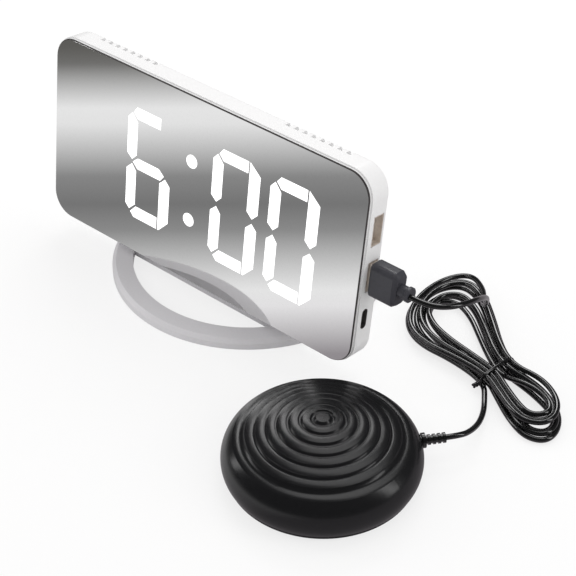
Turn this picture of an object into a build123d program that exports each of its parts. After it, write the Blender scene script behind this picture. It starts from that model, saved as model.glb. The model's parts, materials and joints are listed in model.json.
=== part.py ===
from build123d import *
import math
import os

# Bed shaker alarm clock: a mirror clock on a ring stand, with a vibrating pad on a USB lead.
# Millimetres. X runs along the clock's width with the sockets on +X, the mirror faces -Y and
# leans back, Z is up. The origin is on the floor, under the middle of the stand's crossbar.

# Mirror
lean = 7.5
mirror_lift = 9.5
mirror_place = -17.0
mirror_width = 172.0
mirror_height = 85.8
mirror_corner = 10.5
mirror_thickness = 1.8
mirror_chamfer = 0.35

# Case: a thin front frame and a deeper rear cover
case_margin = 0.5
case_wall = 1.6
case_depth = 12.2
case_edge_radius = 1.5
parting_depth = 4.0
lip_width = 5.0
lip_thickness = 1.2
lip_corner = 12.0
fit_gap = 0.1
cut_over = 1.0

# Case screws and their posts
post_inset = 8.0
post_radius = 2.9
post_length = 3.2
screw_radius = 1.2
screw_head_radius = 2.3
screw_head_thickness = 1.5
screw_bite = 4.6
screw_boss_radius = 3.4
screw_seat_wall = 2.0
pilot_gap = 0.05
screw_bore_gap = 0.2
drive_recess_radius = 0.8
drive_recess_depth = 0.8

# Vent slots that open the rear top edge
vent_count = 8
vent_pitch = 4.4
vent_width = 2.2
vent_inset = 34.0
vent_run = 3.6
vent_drop = 6.0

# Display: four digits and a colon behind the mirror
display_left_margin = 9.7
display_right_margin = 18.5
digit_margin = 16.8
digit_gap = 5.4
digit_raise = 0.1
colon_width = 18.0
dot_radius = 3.0
dot_rise_share = 0.262
reflector_thickness = 4.0
reflector_border = 4.0
guide_thickness = 1.2
guide_gap = 0.12
board_thickness = 1.0
board_border = 1.5
led_width = 2.8
led_length = 3.4
led_thickness = 0.9
board_screw_radius = 0.9
board_screw_head_radius = 1.7
board_screw_head_thickness = 1.0
board_screw_bite = 3.2
board_screw_inset = 2.2

# Main board on the socket side
main_board_width = 15.6
main_board_top_gap = 12.6
main_board_base = 12.7
main_board_thickness = 1.2
main_board_gap = 0.5

# Sockets on the +X side, with their middles as shares of the mirror's height
socket_rise_shares = (0.717, 0.480, 0.252)
socket_wall = 0.35
socket_seat_gap = 0.05
cutout_gap = 0.15
usb_opening_tall = 12.5
usb_opening_thin = 5.12
usb_depth = 14.0
usb_tongue_tall = 11.1
usb_tongue_thickness = 1.6
usb_tongue_length = 8.6
usb_tongue_offset = 0.98
usb_tongue_base = 1.6
power_opening_tall = 8.3
power_opening_thin = 2.6
power_depth = 7.3
power_tongue_tall = 6.6
power_tongue_thickness = 0.7
power_tongue_length = 4.4
power_tongue_base = 1.2

# Buzzer and its sound holes
buzzer_radius = 6.0
buzzer_thickness = 3.4
buzzer_inset = 36.0
buzzer_rise = 48.0
sound_hole_radius = 0.8
sound_hole_circle = 3.6
sound_hole_count = 6

# Backup cell, its pocket and its door
cell_radius = 10.0
cell_thickness = 3.2
cell_gap = 0.25
pocket_board_gap = 8.6
pocket_rise = 30.0
pocket_floor = 0.7
pocket_floor_gap = 0.1
pocket_border = 4.2
door_size = 26.0
door_corner = 4.0
door_thickness = 1.0
door_gap = 0.25
door_notch_radius = 3.0

# Rear keys, their switches and the mode slider
snooze_width = 36.0
snooze_height = 7.0
snooze_drop = 12.8
key_radius = 3.5
key_count = 4
key_pitch = 13.0
key_drop = 13.0
key_proud = 1.1
key_edge = 0.4
key_flange = 0.9
key_flange_thickness = 0.8
key_hole_gap = 0.25
key_flange_gap = 0.2
key_travel = 0.6
switch_size = 5.0
switch_body = 1.4
switch_nub_radius = 1.4
switch_slack = 0.3
slider_width = 6.0
slider_height = 3.0
slider_inset = 40.0
slider_rise = 22.0
slider_travel = 2.5
slider_proud = 1.2
slider_base_length = 13.0
slider_base_height = 6.0
slider_ridge_count = 3
slider_ridge = 0.5

# Stand: ring, crossbar, cradle and tongue
ring_radius = 60.9
ring_centre = 20.0
ring_band = 9.1
ring_thickness = 4.5
ring_bevel = 1.7
ring_rear_reach = 33.0
ring_rear_corner = 22.0
bar_front = -9.9
bar_width = 20.0
cradle_width = 72.0
cradle_corner = 3.0
rest_gap = 0.3
tongue_width = 24.0
tongue_thickness = 2.6
tongue_rise = 27.0
tongue_gap = 0.2
tongue_lead_in = 1.2
stand_socket_wall = 1.6
stand_socket_roof = 2.0

# Shaker pad
pad_x = 109.2
pad_y = -60.5
pad_height = 27.0
pad_radius = 38.4
pad_belly_rise = 7.5
pad_seam_rise = 2.6
pad_seam_radius = 37.2
pad_seam_gap = 0.2
pad_crest_radius = 33.9
pad_land_shares = (0.221, 0.354, 0.487, 0.611, 0.735, 0.858)
pad_land_width = 2.7
pad_land_bulge = 0.1
pad_groove_depth = 0.5
pad_drop = 10.8
pad_drop_power = 1.75
pad_crest_height = 0.62
pad_boss_radius = 2.5
pad_boss_foot = 3.0
pad_boss_drop = 0.35
pad_wall = 2.6
pad_roof_radii = (27.0, 19.0, 11.0)
pad_floor = 2.2
pad_base_inset = 0.8
pad_rib_radius = 34.2
pad_rib_width = 1.4
pad_rib_height = 1.9
pad_screw_circle = 26.5
pad_screw_turn = 60.0
pad_post_radius = 2.9
pad_post_gap = 0.15

# Motor, bracket, shaft and weight in the pad
motor_radius = 9.0
motor_length = 22.0
motor_x = -16.5
motor_rise = 12.2
motor_cap_length = 2.4
motor_nose_radius = 3.0
motor_nose_length = 1.2
shaft_radius = 1.0
shaft_bore_gap = 0.05
shaft_reach = 13.4
weight_radius = 7.4
weight_hub_radius = 2.6
weight_length = 8.0
weight_gap = 1.2
bracket_thickness = 1.0
bracket_width = 9.0
bracket_foot = 7.0
bracket_gap = 0.1
cradle_block_height = 5.4
cradle_block_margin = 2.0
bracket_pad_height = 2.4

# Strain relief and the two wires inside the pad
relief_bearing = 52.0
relief_rise = 8.5
relief_radius = 2.05
relief_groove = 0.5
relief_rib_count = 4
relief_rib_pitch = 2.0
relief_collar_radius = 3.0
relief_collar_length = 1.4
relief_hole_gap = 0.1
relief_wall = 7.7
relief_flange = 1.4
wire_radius = 0.55
wire_spacing = 1.5
wire_bend = 6.0

# Cord: free stretches and the tied hank
cord_diameter = 2.3
cord_sides = 8
cord_floor_gap = 0.12
cord_radius_share = 0.45
hank_x = 127.3
hank_y = 27.9
hank_bearing = -23.6
hank_pitch = 2.8
hank_waist_step = 3.0
hank_layer_step = 2.8
hank_waist_lift = 1.6
hank_turns = 3
hank_waist = 2.5
hank_waist_half = 7.65
hank_start = (-38.0, 14.0)
hank_start_lift = 3.6
hank_settle_corners = 3
hank_start_radius = 9.0
hank_tail_inset = 0.1
hank_tail_radius = 12.0
hank_tail_bearing = -30.0
hank_tail_run = 8.0
hank_tail_drop = 0.3
hank_lead_run = 8.0
pad_lead_run = 6.5
tie_thickness = 1.0
tie_width = 1.6
tie_gap = 0.25
tie_tail = 5.0
tie_tail_radius = 0.9
tie_tail_lean = 60.0

# USB plug on the cord's far end
plug_shell_tall = 12.0
plug_shell_thin = 4.5
plug_shell_wall = 0.3
plug_shell_length = 11.75
plug_standoff = 1.2
plug_insert_thickness = 1.85
plug_insert_gap = 0.04
plug_grip_tall = 15.2
plug_grip_thin = 7.8
plug_grip_length = 13.2
plug_grip_corner = 2.6
plug_grip_edge = 0.9
plug_shell_seat = 3.0
plug_neck_radius = 2.7
plug_neck_length = 3.2
plug_collar_radius = 3.2
plug_collar_length = 1.9
plug_window_size = 2.2
plug_window_offset = 2.6
plug_window_setback = 5.2

# Segments as shares of the digit's width and height, from its lower left corner
segment_shares = (
    ((0.20, 1.00), (0.74, 1.00), (0.74, 0.90), (0.22, 0.90), (0.12, 0.95)),
    ((0.77, 1.00), (1.00, 0.91), (1.00, 0.58), (0.89, 0.525), (0.77, 0.575)),
    ((0.89, 0.485), (1.00, 0.435), (1.00, 0.10), (0.80, 0.00), (0.77, 0.00), (0.77, 0.43)),
    ((0.24, 0.105), (0.74, 0.105), (0.74, 0.00), (0.20, 0.00), (0.12, 0.04)),
    ((0.12, 0.485), (0.22, 0.43), (0.22, 0.12), (0.09, 0.06), (0.00, 0.10), (0.00, 0.43)),
    ((0.09, 0.94), (0.22, 0.87), (0.22, 0.575), (0.12, 0.525), (0.00, 0.57), (0.00, 0.89)),
    ((0.25, 0.552), (0.74, 0.552), (0.86, 0.505), (0.78, 0.455), (0.25, 0.455), (0.14, 0.505)),
)

# The hank's outermost loop, from the waist round the big end and the small end
hank_outline = (
    (hank_waist, hank_waist_half),
    (-52.5, 25.0),
    (-65.5, 9.5),
    (-36.5, -27.0),
    (hank_waist, -hank_waist_half),
    (34.2, -17.7),
    (45.6, -1.6),
    (34.2, 14.5),
)
hank_radii = (26.0, 13.2, 13.2, 17.0, 26.0, 13.3, 13.3, 13.3)

# Worked out from the sizes above
case_width = mirror_width + 2 * case_margin
case_height = mirror_height + 2 * case_margin
case_corner = mirror_corner + case_margin
inner_depth = case_depth - case_wall
display_width = mirror_width - display_left_margin - display_right_margin
colon_offset = (display_left_margin - display_right_margin) / 2
digit_width = (display_width / 2 - colon_width / 2 - 3 * digit_gap / 2 - reflector_border) / 2
digit_pitch = digit_width + digit_gap
digit_height = mirror_height - 2 * digit_margin
display_centre_rise = mirror_height / 2 + digit_raise
board_front = mirror_thickness + reflector_thickness
board_back = board_front + board_thickness
socket_plane = mirror_thickness + lip_thickness + main_board_thickness
socket_face = case_width / 2
usb_line = socket_plane + socket_seat_gap + socket_wall + usb_opening_thin / 2
power_line = socket_plane + socket_seat_gap + socket_wall + power_opening_thin / 2
main_board_right = case_width / 2 - case_wall - main_board_gap
main_board_height = mirror_height - main_board_base - main_board_top_gap
usb_upper_rise, usb_lower_rise, power_rise = [share * mirror_height for share in socket_rise_shares]
vent_group_offset = mirror_width / 2 - vent_inset
buzzer_x = buzzer_inset - mirror_width / 2
slider_x = slider_inset - mirror_width / 2
pocket_x = main_board_right - main_board_width - pocket_board_gap - cell_radius - pocket_border
snooze_rise = mirror_height - snooze_drop
key_rise = snooze_rise - key_drop
key_back = case_depth + key_proud
key_front = inner_depth - key_flange_gap - key_flange_thickness
switch_top = key_front - key_travel - switch_slack
cord_radius = cord_diameter / 2
relief_length = relief_rib_count * relief_rib_pitch + relief_collar_length
plug_back = socket_face + plug_standoff
plug_end = plug_back + plug_grip_length + plug_neck_length + plug_collar_length


def clock(shape):
    """Carries a shape, or each of a list of shapes, from the clock's own level frame to its lean."""
    place = Location((0, mirror_place, mirror_lift), (-lean, 0, 0))
    if isinstance(shape, list):
        return Compound([place * piece for piece in shape])
    return place * shape


def clock_point(x, depth, rise):
    """The place in the world of a point in the clock's own frame."""
    angle = math.radians(lean)
    y = mirror_place + depth * math.cos(angle) + rise * math.sin(angle)
    z = mirror_lift - depth * math.sin(angle) + rise * math.cos(angle)
    return Vector(x, y, z)


def slab(sketch, front, back):
    """Extrudes a face-on sketch from one depth to another."""
    return extrude(Plane.XZ.offset(-back) * sketch, amount=back - front, dir=(0, -1, 0))


def block(x0, x1, y0, y1, z0, z1):
    """A box between three pairs of limits."""
    middle = ((x0 + x1) / 2, (y0 + y1) / 2, (z0 + z1) / 2)
    return Pos(*middle) * Box(x1 - x0, y1 - y0, z1 - z0)


def disc(radius, x, rise, front, back):
    """A cylinder that points into the clock."""
    return slab(Pos(x, rise) * Circle(radius), front, back)


def plate(width, height, corner, rise):
    """A rounded rectangle centred across the clock."""
    return Pos(0, rise) * RectangleRounded(width, height, corner)


def post_places():
    """The four case screws, across and up the face."""
    x = mirror_width / 2 - post_inset
    return [(-x, post_inset), (x, post_inset),
            (-x, mirror_height - post_inset), (x, mirror_height - post_inset)]


# Front of the clock
def mirror_panel():
    body = slab(plate(mirror_width, mirror_height, mirror_corner, mirror_height / 2), 0, mirror_thickness)
    front = body.faces().sort_by(Axis.Y)[0]
    return chamfer(front.edges(), mirror_chamfer)


def front_frame():
    rise = mirror_height / 2
    outside = plate(case_width, case_height, case_corner, rise)
    lip_gap = 2 * (case_margin + lip_width)
    opening = plate(case_width - lip_gap, case_height - lip_gap, lip_corner, rise)
    hollow = plate(case_width - 2 * case_wall, case_height - 2 * case_wall, case_corner - case_wall, rise)
    lip_back = mirror_thickness + lip_thickness
    frame = slab(outside - opening, mirror_thickness, lip_back)
    frame += slab(outside - hollow, lip_back, parting_depth)
    for x, z in post_places():
        frame += disc(post_radius, x, z, mirror_thickness, lip_back + post_length)
        frame -= disc(screw_radius + pilot_gap, x, z, lip_back, lip_back + post_length + cut_over)
    return frame


# Rear cover
def cover_tub():
    rise = mirror_height / 2
    tub = slab(plate(case_width, case_height, case_corner, rise), parting_depth, case_depth)
    back = tub.faces().sort_by(Axis.Y)[-1]
    tub = fillet(back.edges(), case_edge_radius)
    width = case_width - 2 * case_wall
    height = case_height - 2 * case_wall
    hollow = plate(width, height, case_corner - case_wall, rise)
    return tub - slab(hollow, parting_depth - cut_over, inner_depth)


def screw_bosses():
    bosses = []
    start = mirror_thickness + lip_thickness + post_length
    for x, z in post_places():
        bosses.append(disc(screw_boss_radius, x, z, start, inner_depth + cut_over / 2))
    return bosses


def screw_bores():
    bores = []
    start = mirror_thickness + lip_thickness + post_length
    seat = start + screw_seat_wall
    for x, z in post_places():
        bores.append(disc(screw_radius + screw_bore_gap, x, z, start - cut_over, seat + cut_over))
        bores.append(disc(screw_head_radius + screw_bore_gap, x, z, seat, case_depth + cut_over))
    return bores


def vent_cutters():
    cutters = []
    top = mirror_height + case_margin
    for side in (-1, 1):
        for i in range(vent_count):
            x = side * vent_group_offset + (i - (vent_count - 1) / 2) * vent_pitch
            cutters.append(block(x - vent_width / 2, x + vent_width / 2,
                                 case_depth - vent_run, case_depth + cut_over,
                                 top - vent_drop, top + cut_over))
    return cutters


def side_cutters():
    gap = socket_wall + cutout_gap
    x0 = socket_face - case_wall - cut_over
    x1 = socket_face + cut_over
    cutters = []
    for rise in (usb_upper_rise, usb_lower_rise):
        cutters.append(block(x0, x1, usb_line - usb_opening_thin / 2 - gap,
                             usb_line + usb_opening_thin / 2 + gap,
                             rise - usb_opening_tall / 2 - gap, rise + usb_opening_tall / 2 + gap))
    tall = power_opening_tall + 2 * gap
    thin = power_opening_thin + 2 * gap
    cutters.append(side_slot(tall, thin, power_line, power_rise, x0, x1))
    return cutters


def side_slot(tall, thin, line, rise, x0, x1):
    """A round-ended slot through the side wall."""
    outline = Plane.YZ.offset(x0) * Pos(line, rise) * SlotOverall(tall, thin, rotation=90)
    return extrude(outline, amount=x1 - x0)


def stand_socket():
    depth = 2 * tongue_gap + tongue_thickness + stand_socket_wall
    half = tongue_width / 2 + tongue_gap + stand_socket_wall
    top = tongue_rise + rest_gap + stand_socket_roof
    body = block(-half, half, inner_depth, case_depth + depth, -case_margin, top)
    edges = body.edges().filter_by(Axis.Z).sort_by(Axis.Y)[-2:]
    return chamfer(edges, stand_socket_wall)


def stand_slot():
    half = tongue_width / 2 + tongue_gap
    return block(-half, half, case_depth, case_depth + 2 * tongue_gap + tongue_thickness,
                 -case_margin - cut_over, tongue_rise + rest_gap)


def cell_pocket():
    side = 2 * (cell_radius + pocket_border)
    front = board_back + pocket_floor_gap
    return slab(Pos(pocket_x, pocket_rise) * RectangleRounded(side, side, door_corner), front, inner_depth)


def cell_cutters():
    front = board_back + pocket_floor_gap + pocket_floor
    hole = disc(cell_radius + cell_gap, pocket_x, pocket_rise, front, case_depth + cut_over)
    size = door_size + 2 * door_gap
    recess = slab(Pos(pocket_x, pocket_rise) * RectangleRounded(size, size, door_corner + door_gap),
                  case_depth - door_thickness, case_depth + cut_over)
    notch = disc(door_notch_radius, pocket_x, pocket_rise + size / 2, case_depth - door_thickness,
                 case_depth + cut_over)
    return [hole, recess, notch]


def key_places():
    return [((i - (key_count - 1) / 2) * key_pitch, key_rise) for i in range(key_count)]


def key_holes():
    holes = []
    snooze = Pos(0, snooze_rise) * SlotOverall(snooze_width + 2 * key_hole_gap,
                                               snooze_height + 2 * key_hole_gap)
    holes.append(slab(snooze, inner_depth - cut_over, case_depth + cut_over))
    for x, z in key_places():
        holes.append(disc(key_radius + key_hole_gap, x, z, inner_depth - cut_over, case_depth + cut_over))
    length = slider_width + 2 * (slider_travel + key_hole_gap)
    track = Pos(slider_x, slider_rise) * Rectangle(length, slider_height + 2 * key_hole_gap)
    holes.append(slab(track, inner_depth - cut_over, case_depth + cut_over))
    return holes


def sound_holes():
    holes = [disc(sound_hole_radius, buzzer_x, buzzer_rise, inner_depth - cut_over, case_depth + cut_over)]
    for i in range(sound_hole_count):
        angle = 2 * math.pi * i / sound_hole_count
        x = buzzer_x + sound_hole_circle * math.cos(angle)
        z = buzzer_rise + sound_hole_circle * math.sin(angle)
        holes.append(disc(sound_hole_radius, x, z, inner_depth - cut_over, case_depth + cut_over))
    return holes


def rear_cover():
    body = cover_tub()
    for piece in screw_bosses() + [stand_socket(), cell_pocket()]:
        body += piece
    cutters = screw_bores() + vent_cutters() + side_cutters() + [stand_slot()]
    cutters += cell_cutters() + key_holes() + sound_holes()
    for cutter in cutters:
        body -= cutter
    return body


def case_screws():
    screws = []
    seat = mirror_thickness + lip_thickness + post_length + screw_seat_wall
    for x, z in post_places():
        shank = disc(screw_radius, x, z, seat - screw_bite, seat)
        head = disc(screw_head_radius, x, z, seat, seat + screw_head_thickness)
        recess = disc(drive_recess_radius, x, z, seat + screw_head_thickness - drive_recess_depth,
                      seat + screw_head_thickness + cut_over)
        screws.append(shank + head - recess)
    return screws


# Display
def digit_centres():
    near = colon_width / 2 + digit_pitch / 2
    far = near + digit_pitch
    return [colon_offset - far, colon_offset - near, colon_offset + near, colon_offset + far]


def segment_outlines(gap):
    """The lit shapes of all digits and the colon, drawn in by a gap."""
    outlines = []
    low = display_centre_rise - digit_height / 2
    for centre in digit_centres():
        left = centre - digit_width / 2
        for shares in segment_shares:
            points = [(left + u * digit_width, low + v * digit_height) for u, v in shares]
            shape = Polygon(*points, align=None)
            outlines.append(offset(shape, -gap, kind=Kind.INTERSECTION) if gap else shape)
    for sign in (-1, 1):
        rise = display_centre_rise + sign * dot_rise_share * digit_height
        outlines.append(Pos(colon_offset, rise) * Circle(dot_radius - gap))
    return outlines


def display_half():
    return (colon_width / 2 + digit_pitch + digit_pitch / 2 + digit_width / 2) + reflector_border


def digit_reflector():
    width = 2 * display_half()
    height = digit_height + 2 * reflector_border
    body = slab(Pos(colon_offset, display_centre_rise) * Rectangle(width, height),
                mirror_thickness, board_front)
    cut = Sketch() + segment_outlines(0)
    body -= slab(cut, mirror_thickness - cut_over, board_front + cut_over)
    for x, z in board_screw_places():
        body -= disc(board_screw_radius + pilot_gap, x, z, board_back - board_screw_bite, board_front + cut_over)
    return body


def light_guides():
    pieces = [slab(shape, mirror_thickness, mirror_thickness + guide_thickness)
              for shape in segment_outlines(guide_gap)]
    return pieces


def display_board():
    width = 2 * display_half() + board_border
    height = digit_height + 2 * (reflector_border + board_border)
    body = slab(Pos(colon_offset, display_centre_rise) * Rectangle(width, height), board_front, board_back)
    for x, z in board_screw_places():
        body -= disc(board_screw_radius + screw_bore_gap, x, z, board_front - cut_over, board_back + cut_over)
    for x, z in post_places():
        body -= disc(screw_boss_radius + main_board_gap, x, z, board_front - cut_over, board_back + cut_over)
    return body


def board_screw_places():
    x = display_half() - board_screw_inset
    z = digit_height / 2 + reflector_border - board_screw_inset
    return [(colon_offset + i * x, display_centre_rise + j * z) for i in (-1, 1) for j in (-1, 1)]


def board_screws():
    screws = []
    for x, z in board_screw_places():
        shank = disc(board_screw_radius, x, z, board_back - board_screw_bite + pilot_gap, board_back)
        head = disc(board_screw_head_radius, x, z, board_back, board_back + board_screw_head_thickness)
        screws.append(shank + head)
    return screws


def led_places():
    places = []
    low = display_centre_rise - digit_height / 2
    for centre in digit_centres():
        left = centre - digit_width / 2
        for shares in segment_shares:
            u = sum(p[0] for p in shares) / len(shares)
            v = sum(p[1] for p in shares) / len(shares)
            places.append((left + u * digit_width, low + v * digit_height))
    for sign in (-1, 1):
        places.append((colon_offset, display_centre_rise + sign * dot_rise_share * digit_height))
    return places


def led_chips():
    chips = []
    for x, z in led_places():
        shape = Pos(x, z) * Rectangle(led_width, led_length)
        chips.append(slab(shape, board_front - led_thickness, board_front))
    return chips


# Main board, sockets and small parts
def main_board():
    x0 = main_board_right - main_board_width
    front = mirror_thickness + lip_thickness
    return block(x0, main_board_right, front, front + main_board_thickness,
                 main_board_base, main_board_base + main_board_height)


def usb_port(rise):
    x0 = socket_face - usb_depth
    half_thin = usb_opening_thin / 2
    half_tall = usb_opening_tall / 2
    shell = block(x0, socket_face, usb_line - half_thin - socket_wall, usb_line + half_thin + socket_wall,
                  rise - half_tall - socket_wall, rise + half_tall + socket_wall)
    edges = shell.edges().filter_by(Axis.X)
    shell = fillet(edges, socket_wall * 2)
    bore = block(x0 + socket_wall, socket_face + cut_over, usb_line - half_thin, usb_line + half_thin,
                 rise - half_tall, rise + half_tall)
    bore = fillet(bore.edges().filter_by(Axis.X), socket_wall)
    return shell - bore


def usb_tongue(rise):
    x0 = socket_face - usb_depth + socket_wall
    gap = 2 * socket_seat_gap
    half_thin = usb_opening_thin / 2 - gap
    half_tall = usb_opening_tall / 2 - gap
    base = block(x0, x0 + usb_tongue_base, usb_line - half_thin, usb_line + half_thin,
                 rise - half_tall, rise + half_tall)
    base = chamfer(base.edges().filter_by(Axis.X), socket_wall)
    line = usb_line + usb_tongue_offset
    blade = block(x0 + usb_tongue_base, x0 + usb_tongue_base + usb_tongue_length,
                  line - usb_tongue_thickness / 2, line + usb_tongue_thickness / 2,
                  rise - usb_tongue_tall / 2, rise + usb_tongue_tall / 2)
    tip = blade.faces().sort_by(Axis.X)[-1]
    blade = chamfer(tip.edges(), usb_tongue_thickness / 4)
    return base + blade


def power_socket():
    x0 = socket_face - power_depth
    tall = power_opening_tall + 2 * socket_wall
    thin = power_opening_thin + 2 * socket_wall
    shell = side_slot(tall, thin, power_line, power_rise, x0, socket_face)
    return shell - side_slot(power_opening_tall, power_opening_thin, power_line, power_rise,
                             x0 + socket_wall, socket_face + cut_over)


def power_tongue():
    x0 = socket_face - power_depth + socket_wall
    gap = 2 * socket_seat_gap
    base = side_slot(power_opening_tall - 2 * gap, power_opening_thin - 2 * gap, power_line, power_rise,
                     x0, x0 + power_tongue_base)
    x1 = x0 + power_tongue_base
    blade = block(x1, x1 + power_tongue_length,
                  power_line - power_tongue_thickness / 2, power_line + power_tongue_thickness / 2,
                  power_rise - power_tongue_tall / 2, power_rise + power_tongue_tall / 2)
    return base + blade


def buzzer():
    body = disc(buzzer_radius, buzzer_x, buzzer_rise, board_back, board_back + buzzer_thickness)
    mouth = disc(sound_hole_radius, buzzer_x, buzzer_rise, board_back + buzzer_thickness / 2,
                 board_back + buzzer_thickness + cut_over)
    return body - mouth


def coin_cell():
    front = board_back + pocket_floor_gap + pocket_floor + socket_seat_gap
    step = cell_thickness / 4
    wide = disc(cell_radius, pocket_x, pocket_rise, front + step, front + cell_thickness)
    return wide + disc(cell_radius - 2 * step, pocket_x, pocket_rise, front, front + step)


def battery_door():
    front = case_depth - door_thickness + fit_gap
    body = slab(Pos(pocket_x, pocket_rise) * RectangleRounded(door_size, door_size, door_corner),
                front, case_depth)
    groove = door_thickness / 3
    for i in range(slider_ridge_count):
        z = pocket_rise - door_size / 3 + i * door_corner
        body -= block(pocket_x - door_size / 4, pocket_x + door_size / 4, case_depth - groove,
                      case_depth + cut_over, z, z + groove * 2)
    return body


# Rear keys
def snooze_key():
    outline = Pos(0, snooze_rise) * SlotOverall(snooze_width, snooze_height)
    flange = Pos(0, snooze_rise) * SlotOverall(snooze_width + 2 * key_flange, snooze_height + 2 * key_flange)
    body = slab(outline, key_front, key_back)
    body = chamfer(body.faces().sort_by(Axis.Y)[-1].edges(), key_edge)
    return body + slab(flange, key_front, key_front + key_flange_thickness)


def set_key(x, rise):
    body = disc(key_radius, x, rise, key_front, key_back)
    body = chamfer(body.faces().sort_by(Axis.Y)[-1].edges(), key_edge)
    return body + disc(key_radius + key_flange, x, rise, key_front, key_front + key_flange_thickness)


def tact_switches():
    switches = []
    for x, z in key_places() + [(0, snooze_rise - snooze_height / 4)]:
        body = slab(Pos(x, z) * Rectangle(switch_size, switch_size), board_back, board_back + switch_body)
        switches.append(body + disc(switch_nub_radius, x, z, board_back + switch_body, switch_top))
    return switches


def slide_knob():
    outline = Pos(slider_x, slider_rise) * Rectangle(slider_width, slider_height)
    body = slab(outline, key_front, case_depth + slider_proud)
    step = slider_width / (2 * slider_ridge_count + 1)
    for i in range(slider_ridge_count):
        x = slider_x - slider_width / 2 + (2 * i + 1) * step
        body -= block(x, x + step, case_depth + slider_proud - slider_ridge, case_depth + slider_proud + cut_over,
                      slider_rise - slider_height, slider_rise + slider_height)
    base = Pos(slider_x, slider_rise) * Rectangle(slider_width + 2 * key_flange + slider_travel,
                                                  slider_height + 2 * key_flange)
    return body + slab(base, key_front, key_front + key_flange_thickness)


def slide_switch():
    body = Pos(slider_x, slider_rise) * Rectangle(slider_base_length, slider_base_height)
    return slab(body, board_back, key_front - rest_gap)


# Stand
def ring_outline():
    """The ring's outer outline: round in front, cut straight behind with round corners."""
    disc_face = Pos(0, ring_centre) * Circle(ring_radius)
    size = 2 * ring_radius
    keep = Pos(0, ring_centre + ring_rear_reach - ring_radius) * Rectangle(size, size)
    shape = disc_face & keep
    rear = shape.vertices().group_by(Axis.Y)[-1]
    return fillet(rear, ring_rear_corner)


def ring_plate():
    outer = ring_outline()
    inner = offset(outer, -ring_band)
    body = extrude(outer, amount=ring_thickness)
    rim = body.faces().sort_by(Axis.Z)[-1].edges()
    body = chamfer(rim, ring_bevel)
    bar = Pos(0, bar_front + bar_width / 2) * Rectangle(2 * ring_radius, bar_width)
    return body - extrude(inner - bar, amount=ring_thickness)


def cradle():
    """The raised saddle that the clock's underside rests on, with its top along the lean."""
    floor = -case_margin - rest_gap
    angle = math.radians(lean)
    front_depth = (bar_front - mirror_place - floor * math.sin(angle)) / math.cos(angle)
    back_depth = case_depth + 2 * tongue_gap + tongue_thickness + stand_socket_wall
    a = clock_point(0, front_depth, floor)
    b = clock_point(0, back_depth, floor)
    bar_back = bar_front + bar_width
    points = [(bar_front, 0), (bar_back, 0), (bar_back, ring_thickness), (b.Y, b.Z), (bar_front, a.Z)]
    half = cradle_width / 2
    outline = Plane.YZ.offset(-half) * Polygon(*points, align=None)
    body = extrude(outline, amount=cradle_width)
    ends = body.edges().filter_by(Axis.Z).filter_by(lambda edge: edge.center().Y < bar_front + cradle_corner)
    return fillet(ends, cradle_corner)


def tongue():
    half = tongue_width / 2
    front = case_depth + tongue_gap
    low = -case_margin - rest_gap - ring_thickness / 2
    body = block(-half, half, front, front + tongue_thickness, low, tongue_rise)
    tip = body.faces().sort_by(Axis.Z)[-1]
    body = chamfer(tip.edges(), tongue_lead_in / 2)
    return clock(body)


def stand():
    return ring_plate() + cradle() + tongue()


# Shaker pad
def pad(shape):
    return Pos(pad_x, pad_y, 0) * shape


def dome(radius):
    """Height of the pad's top at a radius, without its ridges."""
    return pad_height - pad_drop * (radius / pad_crest_radius) ** pad_drop_power


def land_point(radius, middle):
    """A point on a ridge's land, which leans half as much as the pad's top does."""
    return (radius, 0, (dome(middle) + dome(radius)) / 2)


def groove(start, end):
    """A rounded groove between two points of the pad's top."""
    bottom = ((start[0] + end[0]) / 2, 0, (start[2] + end[2]) / 2 - pad_groove_depth)
    return ThreePointArc(start, bottom, end)


def ridge_edges():
    """The ridges' broad lands, each with a crisp outer edge, and the grooves between them."""
    edges = []
    before = (pad_boss_foot, 0, dome(pad_boss_foot) - pad_boss_drop)
    for share in pad_land_shares:
        outer = share * pad_crest_radius
        inner = outer - pad_land_width
        middle = (inner + outer) / 2
        start = land_point(inner, middle)
        end = land_point(outer, middle)
        top = (middle, 0, dome(middle) + pad_land_bulge)
        edges += [groove(before, start), ThreePointArc(start, top, end)]
        before = end
    last = (before[0] + pad_crest_radius) / 2
    edges.append(groove(before, (last, 0, dome(last) - pad_land_bulge)))
    return edges


def pad_skin_edges():
    ridges = ridge_edges()
    start = ridges[0] @ 0
    end = ridges[-1] @ 1
    boss = (pad_boss_radius, 0, pad_height)
    shoulder = (pad_crest_radius, 0, dome(pad_crest_radius) + pad_crest_height)
    belly = (pad_radius, 0, pad_belly_rise)
    seam = (pad_seam_radius, 0, pad_seam_rise)
    tangent = Vector(ridges[-1] % 1)
    crown = TangentArc(end, shoulder, tangent=tangent)
    side = TangentArc(belly, shoulder, tangent=Vector(0, 0, 1))
    tuck = TangentArc(belly, seam, tangent=Vector(0, 0, -1))
    return [Line((0, 0, pad_height), boss), Line(boss, start)] + ridges + [crown, side, tuck]


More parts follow.
